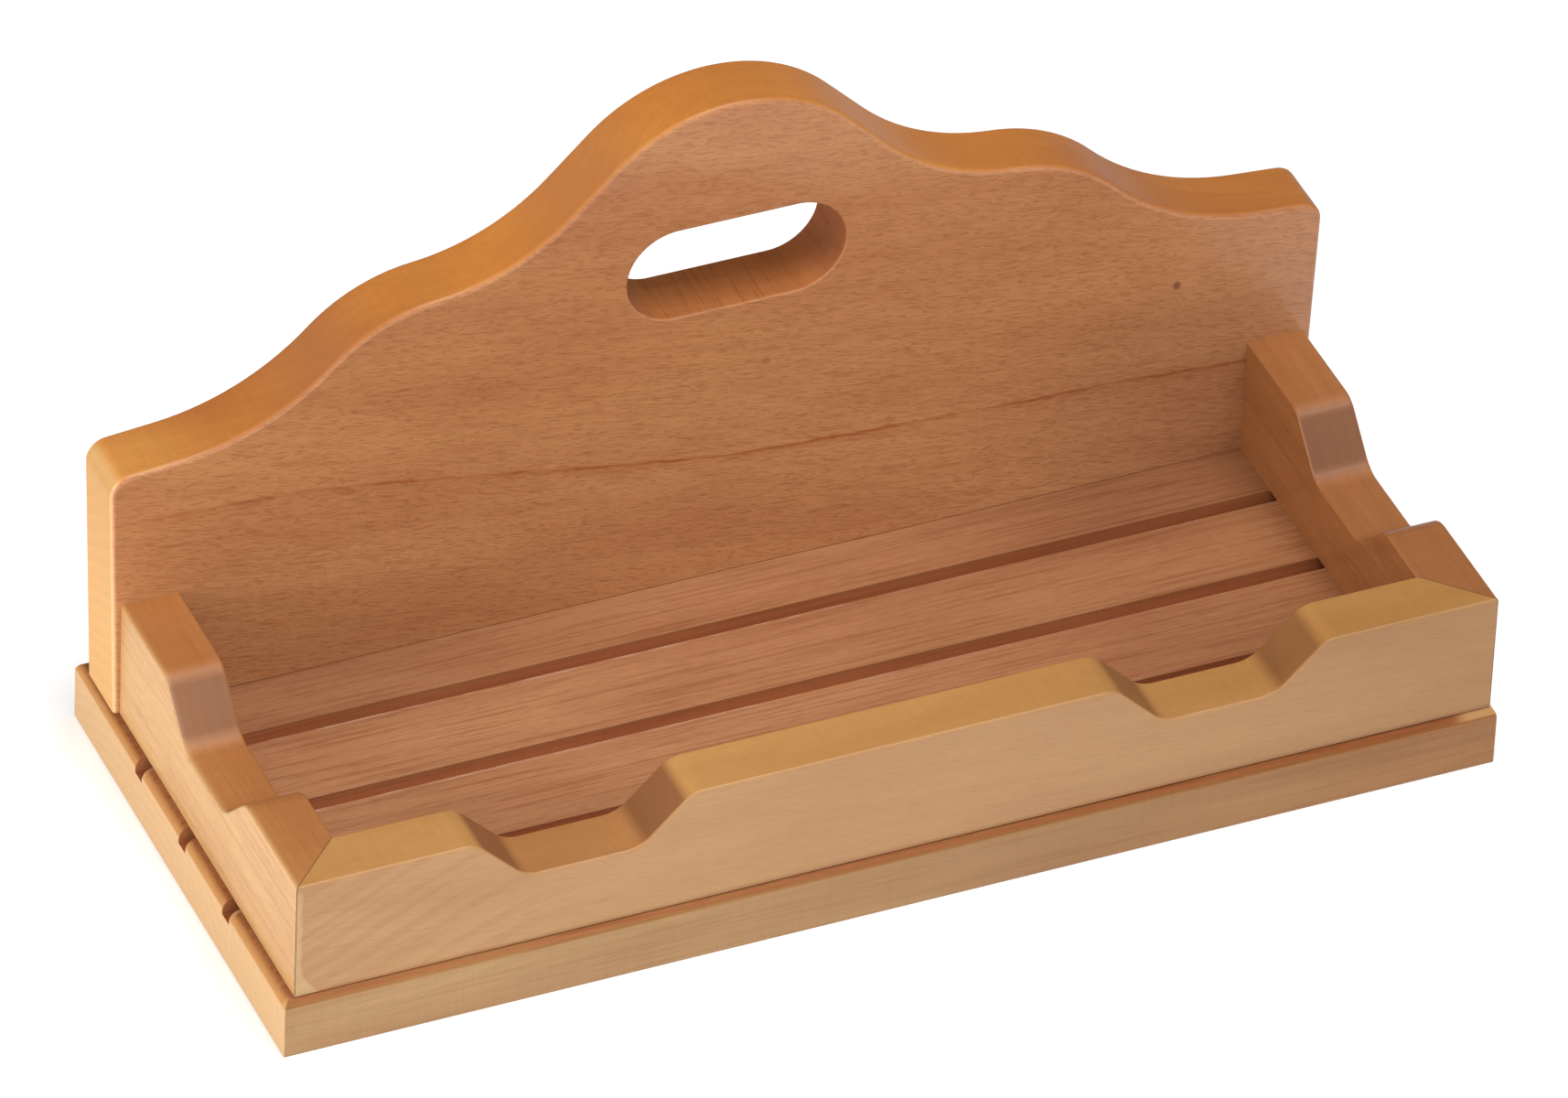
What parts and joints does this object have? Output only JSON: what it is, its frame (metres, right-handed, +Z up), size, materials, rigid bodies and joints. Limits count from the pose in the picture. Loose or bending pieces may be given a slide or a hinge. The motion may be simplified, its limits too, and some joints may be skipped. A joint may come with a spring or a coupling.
{
  "type": "wooden carrying rack",
  "caption": "Low open rack of lacquered beech with a scalloped back board, a hand hole in it, finger scoops in the sides and front rail, and a grooved base board.",
  "frame": {"origin": "middle of the base board's underside, where the rack rests", "axes": "+X along the rack, +Y towards the scalloped back board, +Z up"},
  "size_m": [0.5078, 0.22, 0.255],
  "materials": {
    "base_beech": "satin lacquer",
    "back_beech": "satin lacquer",
    "side_beech": "satin lacquer",
    "rail_beech": "satin lacquer",
    "zinc_screw": "bright zinc plated",
    "dowel_beech": "raw, sealed inside the joint"
  },
  "bodies": {
    "root": {"base_board": "base_beech", "back_panel": "back_beech", "left_side": "side_beech", "right_side": "side_beech", "front_rail": "rail_beech", "back_screw_1": "zinc_screw", "back_screw_2": "zinc_screw", "back_screw_3": "zinc_screw", "back_screw_4": "zinc_screw", "left_side_screw_1": "zinc_screw", "left_side_screw_2": "zinc_screw", "right_side_screw_1": "zinc_screw", "right_side_screw_2": "zinc_screw", "front_rail_screw_1": "zinc_screw", "front_rail_screw_2": "zinc_screw", "front_rail_screw_3": "zinc_screw", "left_dowel_1": "dowel_beech", "left_dowel_2": "dowel_beech", "right_dowel_1": "dowel_beech", "right_dowel_2": "dowel_beech"}
  },
  "joints": []
}
